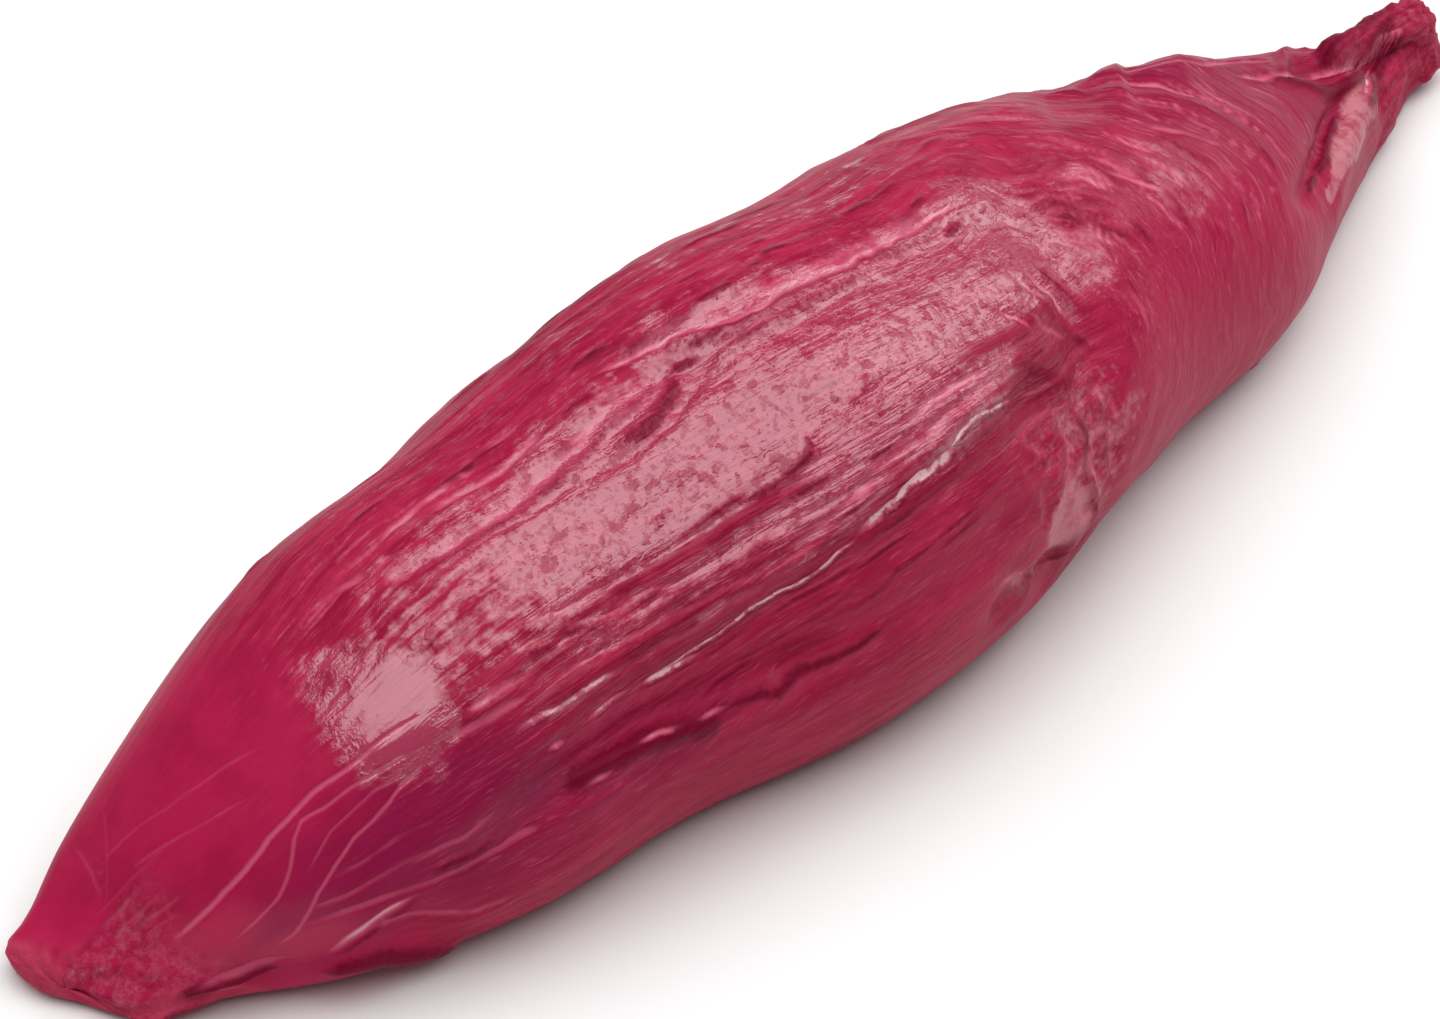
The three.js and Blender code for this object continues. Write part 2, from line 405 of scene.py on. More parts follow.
def streaks(coordinates, length, width, seed):
    """Noise drawn out along the fibre."""
    x, y, z = coordinates.T
    return ruffle(x / length, y / width, z / width, seed)


def hair_streaks(coordinates, length, width, seed):
    """Noise drawn out along the arcs round the knot."""
    outward, round_knot, _ = coordinates.T
    return ruffle(outward / width, round_knot / length, 0.0, seed)


# The lower rim of the cut end.
CUT_RIM = [(-165, -45), (-163, -12), (-160, 4), (-157, -5), (-153, -16), (-148, -34)]

# Heights here and below run the wrong way, because the faces look inwards: above 0 the
# skin sinks, below 0 it stands out. The names, such as ridge and groove, are the photo's.
# Folds and seams: places, height mm, half width mm, how broken 0..1, pale tissue 0..1.
# On the glints and bright flecks the pale tissue is a painted highlight. Folds below 0,
# and the crease under a fold above 0, are darkened with painted shade.
FOLDS = [
    # the long white ridge on top, and the dark step below it
    ([(-60, 99), (-51, 97), (-46, 95), (-42, 92), (-38, 90), (-32, 88), (-25, 87), (-17, 86),
      (-9, 87), (-1, 87), (7, 87), (16, 84)], 0.25, 0.55, 0.2, 0.52),
    ([(-54, 97.5), (-46, 96), (-38, 91.5), (-28, 89), (-17, 88), (-4, 88.5), (10, 88)],
     0.35, 1.4, 0.15, 0.34),
    ([(-45, 90), (-38, 86), (-32, 83), (-22, 82), (-8, 83)], -0.35, 1.0, 0.2, 0),
    # the bumpy white ridge on the near side
    ([(-86, 24), (-76, 25), (-68, 26), (-62, 26), (-57, 26), (-52, 27), (-46, 29)],
     0.4, 0.42, 0.15, 0.8),
    ([(-48, 28.5), (-42, 31), (-39, 32), (-35, 34), (-32, 33), (-28, 33.5), (-24, 35.5)],
     0.5, 0.78, 0.05, 1.0),
    ([(-28, 34), (-25, 36), (-19, 38), (-13, 37), (-4, 35)], 0.4, 0.45, 0.1, 0.9),
    ([(-50, 25), (-42, 27.5), (-35, 30), (-28, 30), (-22, 33), (-13, 34)], -0.35, 0.9, 0.3, 0),
    ([(-46, 32.5), (-38, 37), (-30, 37.5), (-22, 40), (-14, 40)], -0.35, 0.8, 0.4, 0),
    # shorter ridges above it
    ([(-60, 36), (-49, 37), (-38, 41), (-26, 42), (-18, 43), (-10, 44)], 0.45, 0.8, 0.45, 0.4),
    ([(-32, 46), (-25, 47), (-17, 47), (-9, 46)], 0.45, 0.8, 0.5, 0.5),
    # wrinkles along the lower border of the sheen
    ([(-100, 60), (-91, 56), (-83, 54), (-76, 50), (-70, 50), (-64, 51)], 0.4, 1.0, 0.4, 0.1),
    ([(-103, 58), (-95, 51), (-89, 51), (-80, 44), (-70, 43), (-58, 40)], 0.5, 1.0, 0.3, 0.15),
    ([(-98, 55), (-90, 48), (-82, 46), (-74, 43)], -0.5, 1.0, 0.3, 0),
    ([(-80, 47), (-73, 45), (-64, 44), (-55, 41), (-45, 41), (-39, 41)], 0.5, 1.0, 0.3, 0.15),
    ([(-94, 42), (-84, 39), (-72, 37), (-60, 36), (-48, 36)], 0.45, 0.9, 0.4, 0.2),
    ([(-90, 39), (-78, 36), (-66, 34), (-54, 33)], -0.4, 0.9, 0.3, 0),
    ([(-88, 33), (-76, 32), (-64, 31), (-54, 31)], 0.4, 0.8, 0.5, 0.2),
    # a kinked crack in the sheen
    ([(-45, 61), (-47, 54), (-52, 51), (-57, 51), (-61, 52)], -0.6, 0.9, 0.1, 0),
    ([(-30, 63), (-33, 58), (-37, 57)], -0.4, 0.7, 0.1, 0),
    ([(-66, 62), (-70, 61), (-75, 59)], -0.35, 0.7, 0.2, 0),
    # glints on the far shoulder
    ([(-94, 99), (-89, 98), (-80, 95), (-75, 96), (-69, 98)], 0.5, 0.8, 0.6, 0.5),
    ([(-104, 103), (-96, 102), (-88, 103), (-80, 101)], 0.4, 0.7, 0.7, 0.5),
    ([(-116, 103), (-108, 98), (-100, 95)], 0.4, 0.7, 0.7, 0.4),
    ([(-84, 106), (-74, 104), (-62, 105), (-52, 104)], 0.35, 0.7, 0.7, 0.3),
    # the upper border of the sheen and the stripes under it
    ([(-108, 93), (-104, 91), (-97, 88), (-89, 87), (-82, 87), (-76, 88), (-72, 89), (-66, 90),
      (-61, 90), (-55, 91), (-50, 91)], 0.5, 0.9, 0.25, 0.4),
    ([(-104, 86), (-92, 83), (-82, 82), (-72, 83)], 0.3, 0.8, 0.4, 0.1),
    ([(-100, 84), (-90, 81), (-80, 80)], -0.3, 0.8, 0.4, 0),
    ([(-67, 82), (-61, 81), (-55, 84), (-49, 90)], -0.6, 1.5, 0.1, 0),
    ([(-70, 86), (-62, 86), (-55, 88), (-50, 92)], 0.35, 0.8, 0.3, 0.3),
    ([(-74, 81), (-66, 79), (-58, 79), (-52, 83)], 0.35, 0.8, 0.3, 0.2),
    # the groove along the near side, the lip over it and small bright flecks inside
    ([(-106, 18), (-95, 16), (-87, 15), (-78, 11), (-70, 8.5), (-60, 6)], 0.5, 1.3, 0.1, 0.08),
    ([(-105, 11), (-100, 11.5), (-95, 10.5), (-88, 9), (-82, 6.5), (-78, 4.5), (-73, 3)],
     -1.2, 1.6, 0.0, 0),
    ([(-104, 9), (-97, 10), (-90, 8.5), (-84, 8)], -0.5, 0.7, 0.1, 0),
    ([(-75, 5), (-71, 4.5), (-64, 2), (-56, 2), (-50, 2.5), (-44, 4)], -0.7, 0.8, 0.2, 0),
    ([(-101, 9), (-95, 8)], 0.3, 0.4, 0.3, 0.7),
    ([(-91, 10), (-86, 9), (-81, 8)], 0.35, 0.4, 0.5, 0.75),
    ([(-80, 7), (-72, 5)], 0.3, 0.4, 0.5, 0.5),
    ([(-104, 8), (-96, 5), (-88, 3), (-80, 1)], 0.35, 0.9, 0.3, 0.15),
    ([(-92, 2), (-85, -5), (-77, -9), (-68, -10)], -0.3, 0.8, 0.3, 0),
    # glints between the groove and the sheen
    ([(-109, 37), (-101, 35), (-95, 35), (-89, 34)], 0.45, 0.6, 0.3, 0.75),
    ([(-86, 24), (-84, 24), (-77, 23), (-74, 23)], 0.5, 0.65, 0.1, 0.85),
    ([(-98, 26), (-94, 26), (-90, 25), (-86, 25)], 0.4, 0.6, 0.3, 0.7),
    ([(-105, 25), (-101, 25)], 0.4, 0.7, 0.2, 0.7),
    ([(-114, 52), (-110, 50), (-106, 49), (-100, 47)], 0.4, 0.9, 0.3, 0.6),
    ([(-118, 47), (-110, 45), (-103, 42)], 0.35, 0.7, 0.4, 0.4),
    # seams of the nose
    ([(-154, 38), (-151, 44), (-146, 51), (-140, 59), (-133, 61), (-128, 60), (-123, 60),
      (-116, 58)], 0.16, 0.5, 0.0, 0.42),
    ([(-150, 22), (-147, 25), (-143, 32), (-140, 43), (-138, 52), (-136, 56), (-133, 54),
      (-129, 54), (-124, 52), (-119, 50)], 0.12, 0.36, 0.0, 0.31),
    ([(-146, 6), (-143, 10), (-139, 25), (-136, 31), (-132, 37), (-129, 39), (-124, 44),
      (-119, 46)], 0.14, 0.38, 0.0, 0.33),
    ([(-140, 34), (-134, 45), (-127, 48), (-121, 46)], 0.10, 0.3, 0.0, 0.22),
    ([(-153, 121), (-148, 108), (-144, 99), (-140, 94), (-130, 84)], 0.05, 0.30, 0.2, 0.17),
    ([(-152, 98), (-148, 90), (-144, 84), (-136, 74)], 0.05, 0.30, 0.2, 0.18),
    ([(-158, 112), (-154, 99), (-150, 90), (-146, 88)], 0.06, 0.30, 0.2, 0.13),
    ([(-151, 148), (-153, 125), (-155, 108)], 0.08, 0.34, 0.2, 0.17),
    ([(-146, 138), (-150, 120), (-156, 100)], 0.05, 0.30, 0.2, 0.14),
    # the edge of the cut end, slits in its torn face, a nook and an undercut below;
    # the slits, the nook and the undercut carry painted shade
    ([(-167, 148), (-168, 110), (-168, 80), (-167, 45), (-166, 10), (-165, -40)],
     0.35, 1.6, 0.15, 0.0),
    (CUT_RIM, 0.7, 1.5, 0.1, 0.0),
    ([(-163, 120), (-163, 95), (-162, 72), (-160, 50), (-159, 30), (-157, 14)],
     -0.45, 1.1, 0.3, 0),
    ([(-158, 100), (-155, 92), (-151, 88)], 0.35, 0.5, 0.1, 0.22),
    ([(-157, 86), (-154, 78), (-150, 74)], 0.35, 0.5, 0.1, 0.24),
    ([(-156, 74), (-153, 67), (-149, 61)], 0.35, 0.5, 0.1, 0.24),
    ([(-156, 60), (-151, 54)], 0.3, 0.5, 0.1, 0.2),
    ([(-158, 3), (-155, -2), (-151, -4), (-147, -7), (-143, -10)], -1.2, 1.3, 0.25, 0),
    ([(-156, -1), (-152, 2), (-147, -1), (-142, -5)], 0.5, 0.7, 0.3, 0.4),
    ([(-141, -15), (-134, -21), (-126, -32), (-118, -38)], -1.4, 2.4, 0.0, 0),
    # seams low on the near side
    ([(-144, 14), (-133, 10), (-126, 7), (-121, 6), (-113, 6), (-108, 5)],
     0.4, 0.6, 0.3, 0.32),
    ([(-142, 21), (-136, 18), (-128, 19), (-120, 16), (-112, 18)], 0.3, 0.45, 0.4, 0.26),
    ([(-139, 29), (-133, 27), (-127, 29), (-121, 26)], 0.25, 0.35, 0.5, 0.2),
    ([(-128, 12), (-121, 9.5), (-114, 8.5)], -0.6, 1.0, 0.2, 0),
    ([(-136, 2), (-128, -6), (-120, -14), (-112, -14)], 0.35, 0.9, 0.2, 0.35),
    ([(-141, -8), (-137, -2), (-132, 2), (-126, 5)], 0.6, 0.9, 0.1, 0.6),
    # the knot where the fibres meet, with the hollows beside it
    ([(-6, 47), (-2, 42), (2, 37), (6, 31), (9, 26)], -0.4, 1.9, 0.1, 0),
    ([(9, 60), (10, 46), (14, 38), (18, 30)], -0.6, 1.0, 0.5, 0),
    ([(14, 64), (16, 54), (18, 44)], -0.55, 0.9, 0.4, 0),
    ([(3, 62), (5, 54), (3, 46)], -0.5, 0.8, 0.4, 0),
    ([(11, 63), (13, 55), (14, 46), (16, 38)], 0.5, 0.8, 0.5, 0.5),
    ([(4, 55), (7, 46), (12, 38)], 0.4, 0.7, 0.4, 0.45),
    ([(20, 63), (21, 52), (22, 41)], 0.5, 2.2, 0.2, 0.1),
    ([(7, 66), (9, 58), (11, 50)], 0.4, 0.6, 0.3, 0.55),
    ([(-1, 60), (2, 53), (4, 46)], 0.35, 0.6, 0.3, 0.45),
    ([(22, 36), (24, 28), (24, 20)], -0.4, 0.9, 0.3, 0),
    ([(30, 44), (31, 34), (29, 24)], 0.3, 0.7, 0.4, 0.4),
    ([(34, 60), (37, 50), (37, 40)], 0.3, 0.7, 0.4, 0.4),
    ([(44, 74), (50, 64), (53, 54)], 0.3, 0.7, 0.4, 0.45),
    ([(62, 84), (70, 74), (75, 62)], 0.3, 0.7, 0.4, 0.4),
    ([(58, 44), (61, 34), (61, 24)], -0.35, 0.9, 0.3, 0),
    # curly folds under the knot
    ([(-13, 30), (-9, 26), (-7, 21), (-2, 18)], 0.6, 1.1, 0.3, 0.35),
    ([(-2, 26), (2, 17), (-1, 9), (-2, 1)], 0.6, 1.2, 0.3, 0.35),
    ([(8, 22), (10, 14), (7, 6), (9, -2)], 0.6, 1.3, 0.3, 0.35),
    ([(12, 26), (15, 16), (13, 6), (15, -4)], 0.5, 1.2, 0.4, 0.3),
    ([(5, 24), (6, 15), (3, 6)], -0.7, 1.2, 0.1, 0),
    ([(-12, 16), (-8, 8), (-10, 0)], 0.4, 1.1, 0.4, 0.25),
    # the fat tag, and the recess under it darkened with painted shade
    ([(-22, -3), (-16, -6), (-10, -13), (-5, -16)], 0.7, 1.3, 0.2, 0.5),
    ([(-7, -6), (-2, -4), (2, 0), (5, 7)], 0.9, 2.6, 0.1, 0.1),
    ([(-4, -13), (1, -16), (7, -20)], -1.5, 2.0, 0.0, 0),
    ([(6, 8), (5, -1), (7, -9)], -0.7, 0.9, 0.2, 0),
    # seams in the tail
    ([(99, 97), (113, 89), (129, 86), (139, 81), (150, 65), (155, 60)], 0.5, 0.9, 0.3, 0.5),
    ([(109, 92), (112, 84), (118, 68), (127, 61), (138, 60)], -0.9, 1.8, 0.1, 0),
    ([(121, 46), (112, 37), (105, 30), (98, 26), (90, 23)], -0.8, 1.1, 0.45, 0),
    ([(118, 52), (109, 43), (102, 36), (94, 30)], 0.5, 1.2, 0.4, 0.3),
    ([(128, 44), (134, 51), (139, 57), (144, 60)], 0.7, 0.8, 0.1, 0.85),
    ([(126, 36), (136, 42), (146, 46), (156, 48)], -0.9, 2.0, 0.3, 0),
    ([(140, 70), (146, 78), (152, 84), (158, 86)], -0.8, 1.6, 0.3, 0),
    ([(128, 92), (138, 98), (150, 100), (160, 98)], -0.7, 1.8, 0.3, 0),
    ([(77, 116), (87, 112), (96, 106), (107, 108), (118, 104)], 0.5, 0.8, 0.4, 0.45),
    ([(-62, 136), (-50, 141), (-38, 140), (-26, 136)], 0.9, 3.0, 0.2, 0),
    ([(22, 136), (32, 141), (44, 140), (56, 137)], 1.2, 3.0, 0.2, 0),
]


# A fold with a height above 0 and no wider than THIN_SEAM is drawn as a thin seam; on the
# glints that line is a painted highlight. Its crease lies SEAM_CREASE half widths below it
# and gets painted shade.
THIN_SEAM = 0.8
SEAM_CREASE = 1.9
SEAM_LAYERS = 3
SEAM_OFFSETS = 5.0


def fold_relief(skin):
    """The folds' height, where pale lines or painted shade in the creases show, and the thin seams.

    A thin seam goes to the material as its signed gap in its own half widths and its
    strength; thin glints go the same way, as painted highlights. Seams side by side go to
    different layers, so that they don't mix.
    """
    height = np.zeros(len(skin.along))
    seams = [{"gap": np.full(len(height), 9.0), "offset": np.full(len(height), 9.0),
              "tissue_and_glint": np.zeros(len(height)), "near": np.zeros(len(height))}
             for _ in range(SEAM_LAYERS)]
    pale = np.zeros(len(skin.along))
    crease_shade = np.zeros(len(skin.along))
    x, y, z = skin.points.T
    wander = 0.45 * ruffle(x / 7, y / 7, z / 7, 11) + 0.25 * ruffle(x / 2.4, y / 2.4, z / 2.4, 12)
    wander = wander * (1 - 0.75 * (1 - smooth(-132, -116, skin.along)))
    gate = ruffle(x / 3.4, y / 3.4, z / 3.4, 13)
    beads = ruffle(x / 1.7, y / 1.7, z / 1.7, 14)
    for rank, (places, rise, width, broken, tissue_and_glint) in enumerate(FOLDS):
        distance, share = skin.line(places)
        distance = distance + wander
        length = sum(math.hypot(b[0] - a[0], 0.6 * (b[1] - a[1]))
                     for a, b in zip(places, places[1:]))
        tip = min(0.5, 4.5 / length)
        taper = smooth(0, tip, share) * (1 - smooth(1 - tip, 1, share))
        kept = 1 - broken * smooth(-0.15, 0.35, gate + 0.4 * ruffle(x / 8, y / 8, z / 8, 20 + rank))
        slim = width * (0.45 + 0.55 * taper)
        shape = np.exp(-(distance / slim) ** 2)
        if rise > 0:
            # a smaller line of the other sign runs on its lower side
            crease = np.exp(-((distance + SEAM_CREASE * slim) / (0.9 * slim)) ** 2)
            beaded = 1 + 0.6 * max(0, tissue_and_glint - 0.4) * beads
            height += rise * taper * kept * (shape * beaded - 0.4 * crease)
            if width <= THIN_SEAM and tissue_and_glint > 0:
                near = 1 - smooth(1.0, 1.7, np.abs(distance))
                layer = min(seams, key=lambda one: (one["near"] * near).sum())
                closer = np.abs(distance) < np.abs(layer["gap"])
                for name, value in (("gap", distance), ("offset", distance / slim),
                                    ("tissue_and_glint", tissue_and_glint * taper * kept * near)):
                    layer[name] = np.where(closer, value, layer[name])
                layer["near"] = np.maximum(layer["near"], near)
                continue
            pale = np.maximum(pale, tissue_and_glint * taper * kept * beaded * shape)
            # the crease under the fold is darkened with painted shade
            crease_shade = np.maximum(crease_shade, min(0.5, 0.8 * rise) * taper * kept * crease)
        else:
            height += rise * taper * kept * shape
            # a fold below 0 is darkened with painted shade along it
            crease_shade = np.maximum(crease_shade, min(1, -rise) * taper * kept * shape)
    return height, pale, crease_shade, seams


# Scattered strokes: grain, seed, count, run along it, band across it, half length, half width,
# rise, pale tissue. Along the muscle the band is round the girth, round the knot it is the
# distance from the knot, all in millimetres. The pale strokes are pale fibres in part and
# painted glints in part; the strokes below 0 are slits with painted shade.
STROKES = [
    ("muscle", 51, 46, (-106, 0), (15, 34), (4, 11), (0.40, 0.70), 0.38, 0.32),
    ("muscle", 52, 30, (-104, 4), (16, 35), (4, 10), (0.50, 0.90), -0.45, 0),
    ("muscle", 53, 44, (-116, 12), (56, 72), (3, 7), (0.35, 0.55), 0.25, 0.45),
    ("muscle", 56, 30, (-100, 10), (54, 70), (3, 7), (0.50, 0.90), -0.30, 0),
    ("muscle", 57, 22, (-80, -20), (2, 14), (4, 10), (0.40, 0.60), -0.25, 0),
    ("muscle", 58, 90, (-110, 130), (74, 150), (4, 12), (0.50, 0.90), 0.25, 0.32),
    ("muscle", 59, 80, (-110, 130), (74, 150), (4, 12), (0.60, 1.10), -0.35, 0),
    ("knot", 54, 180, (-24, 80), (18, 112), (3, 9), (0.40, 0.80), 0.24, 0.55),
    ("knot", 55, 140, (-30, 80), (16, 105), (4, 11), (0.50, 1.00), -0.28, 0),
]


def scatter_strokes(skin, zone, height, pale, crease_shade):
    """Adds the scattered strokes to the folds."""
    round_girth = GRAIN_RADIUS * np.radians(flow_turn(skin))
    for grain, seed, count, run, band, reach, slim, rise, tissue_and_glint in STROKES:
        draw = np.random.default_rng(seed)
        if grain == "muscle":
            along, across, room = skin.along, round_girth, 1 - zone["hairs"]
        else:
            along, across = skin.hair[:, 1], skin.hair[:, 0]
            room = (zone["hairs"] * (1 - 0.85 * zone["side"])
                    * (1 - 0.7 * smooth(78, 104, skin.along)))
        for _ in range(count):
            past = (along - draw.uniform(*run)) / draw.uniform(*reach)
            off = (across - draw.uniform(*band)) / draw.uniform(*slim)
            strength = draw.uniform(0.4, 1.0)
            shape = strength * room * (1 - smooth(0.2, 1, np.abs(past))) * np.exp(-off * off)
            height += rise * shape
            if rise > 0:
                # the pale strokes: pale fibres in part, painted glints in part
                pale[:] = np.maximum(pale, tissue_and_glint * shape)
            else:
                # the dark strokes: painted shade in slits
                crease_shade[:] = np.maximum(crease_shade, (0.75 if grain == "muscle" else 0.65) * shape)


# Soft spots: strength, along, turn, reach, round reach, softness of the edge.
# the broad film on top, its two ends, and thinner patches of it
LONG_FILM = [(1.0, -46, 66, 66, 20, 0.25), (0.5, -92, 70, 28, 17, 0.3)]
END_FILM = [(1.0, -120, 66, 8, 13, 0.3), (0.9, 10, 68, 22, 16, 0.4)]
FILM_PATCHES = [(0.6, 58, 62, 9, 12, 0.6), (0.6, 26, 56, 8, 10, 0.6), (0.6, 40, 84, 10, 8, 0.6),
                (0.25, -25, 106, 90, 14, 0.6)]
LIP_SPOTS = [(0.7, -150, 27, 4, 5, 0.6), (0.8, -142, 4, 6, 3, 0.6)]
TINT_SPOTS = {
    "dusky": [(1.0, 62, 8, 52, 26, 0.4), (0.4, -50, -18, 70, 10, 0.6),
              (0.6, -38, 12, 34, 8, 0.7), (0.5, -90, 18, 18, 5, 0.6)],
    "purple": [(1.0, -122, 22, 22, 13, 0.6), (0.5, -98, 6, 26, 7, 0.6),
               (0.6, 98, 98, 34, 20, 0.7)],
    # grey: a greyish painted sheen low on the near side
    "grey_sheen": [(1.0, -114, 14, 13, 3.2, 0.7), (1.0, -144, 16, 6, 4, 0.7)],
    "red": [(1.0, 50, 28, 14, 17, 0.6), (1.0, 124, 64, 16, 7, 0.6), (1.0, 5, 38, 11, 6, 0.5),
            (1.0, 98, 98, 40, 20, 0.7)],
}
# the strip of fat at the tail, the tag of fat on the near side and fainter fat round the knot
FAT_STRIP = [(99, 14), (106, 22), (112, 27), (121, 33), (128, 40), (136, 49)]
FAT_SPOTS = [(0.95, -1, -2, 6, 6.5, 0.35), (0.6, -10, -12, 8, 3.5, 0.5),
             (0.52, 8, 10, 14, 12, 0.7), (0.30, 58, 60, 6, 9, 0.7), (0.25, 25, 48, 5, 9, 0.7)]


def spotted(skin, places):
    """The strongest of several soft spots at every point."""
    return np.max([strength * skin.spot(*place) for strength, *place in places], axis=0)


def zones(skin):
    """Where each kind of surface lies, from 0 to 1."""
    along, turn = skin.along, skin.turn
    zone = {}
    film = spotted(skin, LONG_FILM) * (1 - 0.4 * skin.spot(-101, 62, 9, 13, 0.6))
    film = np.maximum(film, spotted(skin, END_FILM))
    film = film * (1 - 0.9 * skin.spot(5, 38, 9, 8, 0.6))
    zone["film"] = np.maximum(film, spotted(skin, FILM_PATCHES))
    zone["nose"] = 1 - smooth(-132, -112, along + 5 * skin.patchy)
    far_round = np.abs((turn - 60 + 180) % 360 - 180)
    zone["hairs"] = smooth(10, 34, along + 4 * skin.patchy) * (1 - smooth(100, 130, far_round))
    zone["hairs"] = zone["hairs"] * (1 - smooth(104, 128, along + 6 * skin.patchy))
    zone["wrinkles"] = (smooth(-116, -96, along) * (1 - smooth(5, 25, along))
                        * smooth(17, 30, turn) * (1 - smooth(46, 60, turn)))
    cut_edge = -154 - 12 * smooth(84, 108, turn) - 5 * (1 - smooth(-60, -30, turn))
    cut_face = 1 - smooth(-4, 4, along + 3 * skin.patchy - cut_edge)
    zone["torn"] = np.maximum(cut_face, smooth(146, 160, along + 3 * skin.patchy))
    zone["torn"] = np.maximum(zone["torn"], 0.5 * smooth(122, 146, along + 4 * skin.patchy))
    zone["tip"] = 1 - smooth(-160, -150, along)
    rim, _ = skin.line(CUT_RIM)
    zone["lip"] = np.maximum(1 - smooth(-165.5, -163.5, along + skin.patchy),
                             1 - smooth(1.5, 3.0, np.abs(rim) + 0.4 * skin.patchy))
    zone["lip"] = np.maximum(zone["lip"], spotted(skin, LIP_SPOTS))
    zone["still"] = skin.spot(-119.5, 66, 6, 8, 0.35)
    zone["side"] = (1 - smooth(24, 46, np.abs(turn + 2) + 8 * skin.patchy)) * smooth(15, 35, along)
    for name, places in TINT_SPOTS.items():
        zone[name] = spotted(skin, places)
    strip, share = skin.line(FAT_STRIP)
    strip_width = 1.6 + 2.9 * smooth(0.1, 0.7, share)
    fat = 0.85 * (1 - smooth(0.5, 1.4, np.abs(strip) / strip_width + 0.35 * skin.patchy))
    zone["fat"] = np.maximum(fat, spotted(skin, FAT_SPOTS))
    # painted shade in the valleys between the wrinkle ridges
    zone["valley_shade"] = zone["wrinkles"] * (1 - smooth(-0.5, 0.25, ridges(skin)))
    return zone


def ridges(skin):
    """Rounded bands along the fibres: 1 in the middle of one, -1 between two."""
    return 1 - 2.4 * np.abs(streaks(skin.fibre, 34, 3.4, 32))


def fine_relief(skin, zone):
    """Fibres, wrinkles, lumps and loose fringes, in millimetres."""
    x, y, z = skin.points.T
    calm = (1 - 0.85 * zone["nose"]) * (1 - zone["tip"])
    wide = streaks(skin.fibre, 42, 4.2, 31)
    thin = streaks(skin.fibre, 14, 1.7, 33)
    beads = ruffle(x / 2.2, y / 2.2, z / 2.2, 45)
    ridged = 0.20 * ridges(skin) * (0.25 + 1.6 * zone["wrinkles"])
    lengthwise = 0.16 * wide + ridged + 0.07 * thin + 0.16 * beads * zone["wrinkles"]
    rope = hair_streaks(skin.hair, 20, 4.0, 34)
    hair = hair_streaks(skin.hair, 11, 1.9, 35)
    crosswise = 0.24 * rope + 0.08 * hair
    share = zone["hairs"]
    side = 1 - 0.85 * zone["side"]
    height = calm * (lengthwise * (1 - share) + crosswise * share * side)
    lump = ruffle(x / 6, y / 6, z / 6, 36)
    pit = ruffle(x / 2.1, y / 2.1, z / 2.1, 37)
    crack = 1 - smooth(0.0, 0.22, np.abs(ruffle(x / 3.6, y / 3.6, z / 3.6, 41)))
    crack = crack * smooth(0.0, 0.4, ruffle(x / 6, y / 6, z / 6, 42))
    rough_film = zone["film"] * (0.12 * lump - 0.16 * smooth(0.25, 0.7, pit) - 0.22 * crack)
    border = smooth(-131, -124, skin.along) * (1 - smooth(-108, -98, skin.along))
    border = border * smooth(40, 55, skin.turn) * (1 - smooth(92, 104, skin.turn))
    border = np.maximum(0.75 * border, skin.spot(5, 14, 17, 12, 0.5))
    curls = 0.34 * border * (1 - 2.4 * np.abs(ruffle(x / 2.6, y / 2.6, z / 2.6, 38)))
    height = height + rough_film + 0.12 * lump * (1 - zone["nose"]) + curls
    height = height * (1 - 0.9 * zone["still"])
    shred = 1 - 2.2 * np.abs(ruffle(x / 3.2, y / 3.2, z / 3.2, 39))
    shred = 0.6 * shred + 0.6 * ruffle(x / 1.8, y / 1.8, z / 1.8, 40) + 0.5 * lump
    lobes = 1.1 * smooth(118, 150, skin.along) * ruffle(x / 9, y / 7, z / 7, 43)
    height = height + lobes + far_ledges(skin)
    return height + (0.6 + 0.35 * (skin.along > 0)) * zone["torn"] * shred


LEDGE_SLANT = 0.43
FAR_LAYERS = {52: 0.0, 57: 0.7, 60: 1.4, 64: 1.3, 69: 0.8, 73: -0.3, 76.5: -0.8, 78.5: 0.2,
              83: 0.1, 86: -0.3, 92: -1.0, 98: -0.3, 104: 0.0, 122: 0.0, 124.5: -0.9, 127: 0.0}


def far_ledges(skin):
    """Layers that overlap on the far shoulder, their edges slanting back towards the tail.

    FAR_LAYERS gives the height in millimetres at places along the roast.
    """
    slant = skin.along - LEDGE_SLANT * (skin.turn - 110) + 0.8 * skin.patchy
    height = np.interp(slant, list(FAR_LAYERS), list(FAR_LAYERS.values()))
    return height * smooth(84, 100, skin.turn) * (1 - smooth(130, 152, skin.turn))


def paint(skin, name, values, low=0.0, high=1.0):
    """Stores a value for every point of the skin, for the material to read."""
    layer = skin.mesh.attributes.new(name, "FLOAT", "POINT")
    layer.data.foreach_set("value", np.clip(values, low, high).astype(np.float32))


def paint_vector(skin, name, vectors):
    """Stores a vector for every point of the skin."""
    layer = skin.mesh.attributes.new(name, "FLOAT_VECTOR", "POINT")
    layer.data.foreach_set("vector", vectors.astype(np.float32).ravel())


